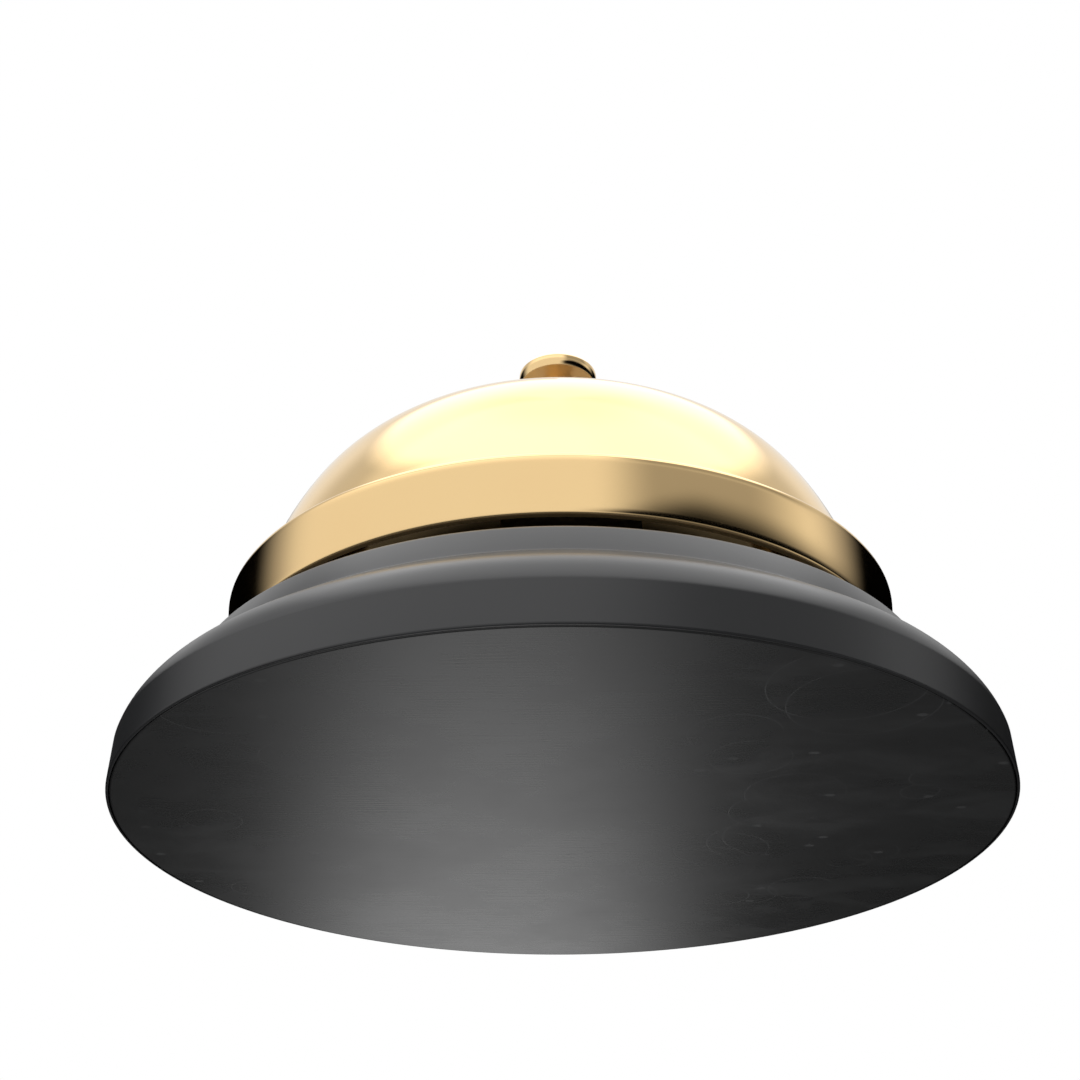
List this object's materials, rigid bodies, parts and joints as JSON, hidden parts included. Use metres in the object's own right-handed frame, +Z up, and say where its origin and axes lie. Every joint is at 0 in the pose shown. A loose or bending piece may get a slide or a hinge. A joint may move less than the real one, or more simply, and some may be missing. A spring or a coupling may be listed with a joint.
{
  "type": "service bell",
  "caption": "Desk call bell: a domed brass gong with a straight band over a stepped round black base, rung by a small button on a central plunger that swings a hammer inside.",
  "frame": {"origin": "centre of the flat underside, on the plunger's axis", "axes": "+Z up along the plunger; the hammer is on the +X side and swings in the XZ plane"},
  "size_m": [0.085, 0.085, 0.0556],
  "materials": {
    "black_paint": "satin black paint, finely brushed and lightly scratched on the underside",
    "polished_brass": "polished and lacquered",
    "plain_brass": "turned, not polished",
    "bright_steel": "bright drawn steel",
    "zinc_plate": "bright zinc plate",
    "red_fibre": "matt vulcanised fibre"
  },
  "bodies": {
    "base": {"base_shell": "black_paint", "bottom_plate": "black_paint", "gong": "polished_brass", "gong_top_nut": "plain_brass", "gong_upper_washer": "plain_brass", "guide_bush": "plain_brass", "center_post": "bright_steel", "pivot_pin": "bright_steel", "return_spring": "bright_steel", "mechanism_frame": "zinc_plate", "frame_screw_front": "zinc_plate", "frame_screw_rear": "zinc_plate", "frame_nut_front": "zinc_plate", "frame_nut_rear": "zinc_plate", "post_lower_nut": "zinc_plate", "post_upper_nut": "zinc_plate", "gong_seat_nut": "zinc_plate", "pivot_clip": "zinc_plate", "pivot_sleeve_front": "zinc_plate", "pivot_sleeve_rear": "zinc_plate", "gong_lower_washer": "red_fibre"},
    "plunger": {"plunger_rod": "plain_brass", "button": "polished_brass", "link_pin": "bright_steel", "spring_clip": "zinc_plate", "spring_washer": "zinc_plate", "stop_clip": "zinc_plate"},
    "hammer": {"hammer_lever": "zinc_plate", "hammer_head": "plain_brass", "hammer_rivet": "bright_steel"}
  },
  "joints": [
    {"name": "button_press", "type": "slide", "parent": "base", "child": "plunger", "axis": [0, 0, -1], "range_m": [0, 0.00368], "stiffness_N_per_m": 300, "springref_m": -0.003, "deforming": ["return_spring"]},
    {"name": "hammer_swing", "type": "hinge", "parent": "base", "child": "hammer", "pos_m": [0.0055, 0, 0.023], "axis": [0, -1, 0], "range_deg": [0, 37]}
  ],
  "couplings": [
    {"joint": "hammer_swing", "follows": "button_press", "rad_per_m": 175.46}
  ]
}
